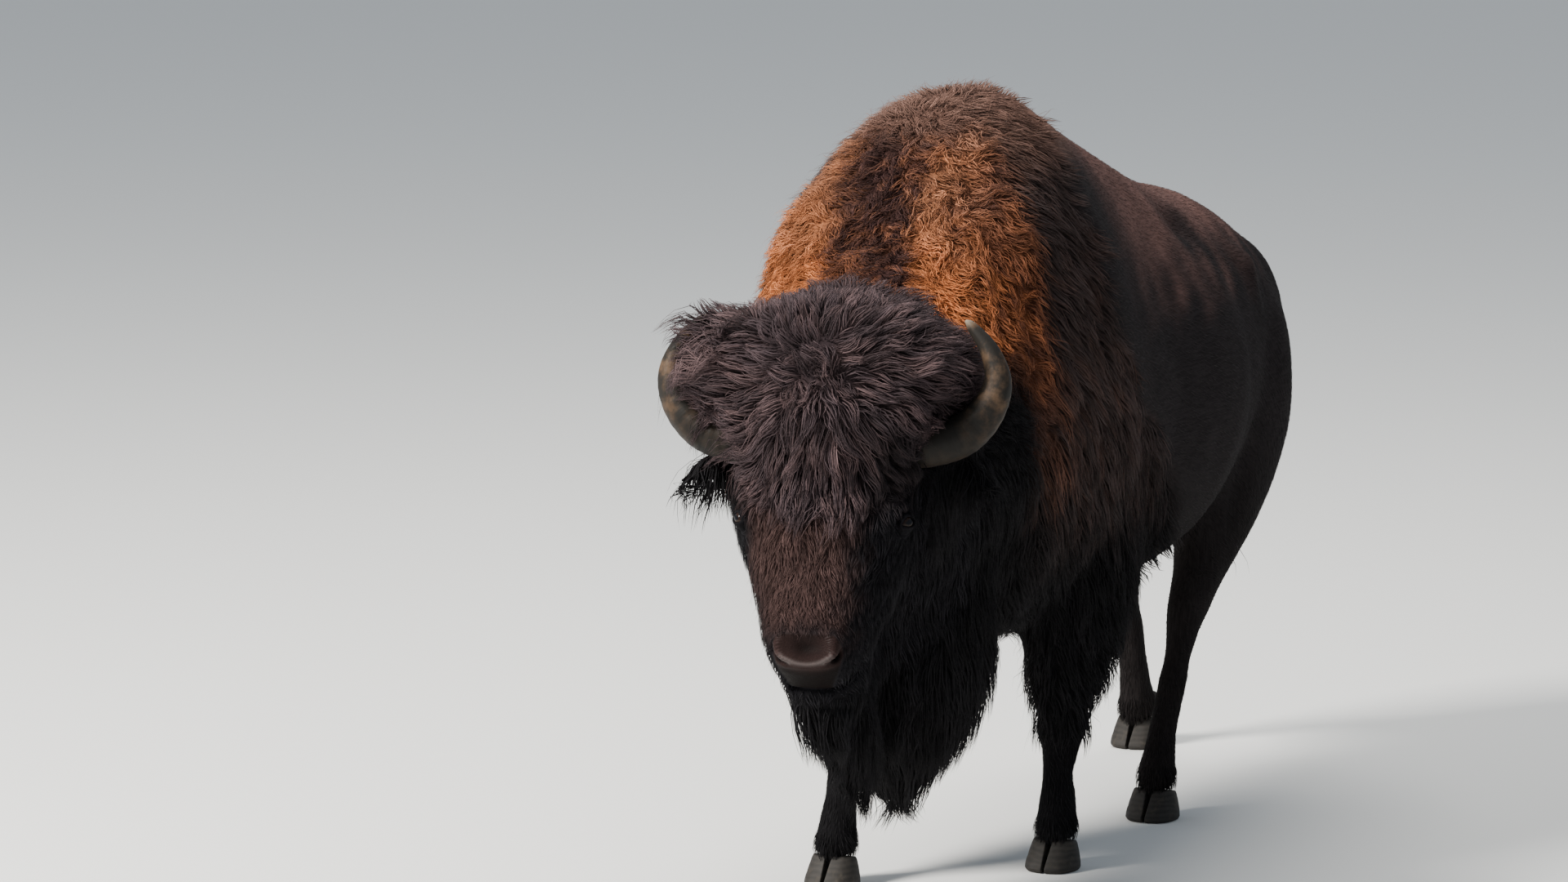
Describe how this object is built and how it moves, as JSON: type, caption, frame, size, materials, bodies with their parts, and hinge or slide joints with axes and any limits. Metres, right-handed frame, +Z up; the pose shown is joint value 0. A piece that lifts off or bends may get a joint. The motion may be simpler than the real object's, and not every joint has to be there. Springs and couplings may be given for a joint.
{
  "type": "bison model",
  "caption": "Still life-size model of a walking bull bison: high woolly hump, low broad horned head with beard, shaggy forelegs, sleek hindquarters and tufted tail.",
  "frame": {"origin": "on the floor under the middle of the bounding box", "axes": "+Z up; the animal faces -Y, so +Y runs from head to tail along its length; +X is its left side"},
  "size_m": [0.8824, 2.814, 1.7978],
  "materials": {
    "coat_crown": "long loose wavy hair, black-brown with rosy lights",
    "coat_head": "short dark rose-brown hair, longer on the cheeks",
    "muzzle_skin": "bare wet pore-marked skin round the nostrils, short hair above",
    "coat_beard": "long straight black hair",
    "coat_neck": "woolly golden-brown above, long and black under the throat",
    "coat_cape": "woolly curls, golden tan, dark along the middle and down the shoulder",
    "coat_flank": "short sleek hair, black-brown",
    "coat_upper_legs": "shaggy dark chaps on the forelegs, short hair on the thighs",
    "coat_lower_legs": "short stiff dark hair",
    "ear_hair": "short hair with long fringes",
    "horn_keratin": "ringed and worn grey-olive keratin, polished paler tip",
    "eye_wet": "wet dark brown eyeball",
    "claw_keratin": "dull dark keratin with growth rings",
    "tail_hair": "short hair on the dock, long hair in the tuft"
  },
  "bodies": {
    "root": {"crown": "coat_crown", "head": "coat_head", "muzzle": "muzzle_skin", "beard": "coat_beard", "neck": "coat_neck", "forequarters": "coat_cape", "barrel": "coat_flank", "hindquarters": "coat_flank", "foreleg_upper_left": "coat_upper_legs", "foreleg_upper_right": "coat_upper_legs", "thigh_left": "coat_upper_legs", "thigh_right": "coat_upper_legs", "foreleg_lower_left": "coat_lower_legs", "foreleg_lower_right": "coat_lower_legs", "hind_leg_lower_left": "coat_lower_legs", "hind_leg_lower_right": "coat_lower_legs", "ear_left": "ear_hair", "ear_right": "ear_hair", "horn_left": "horn_keratin", "horn_right": "horn_keratin", "eye_left": "eye_wet", "eye_right": "eye_wet", "claw_fore_left_inner": "claw_keratin", "claw_fore_left_outer": "claw_keratin", "claw_fore_right_inner": "claw_keratin", "claw_fore_right_outer": "claw_keratin", "claw_hind_left_inner": "claw_keratin", "claw_hind_left_outer": "claw_keratin", "claw_hind_right_inner": "claw_keratin", "claw_hind_right_outer": "claw_keratin", "tail_dock": "tail_hair", "tail_tuft": "tail_hair"}
  },
  "joints": []
}
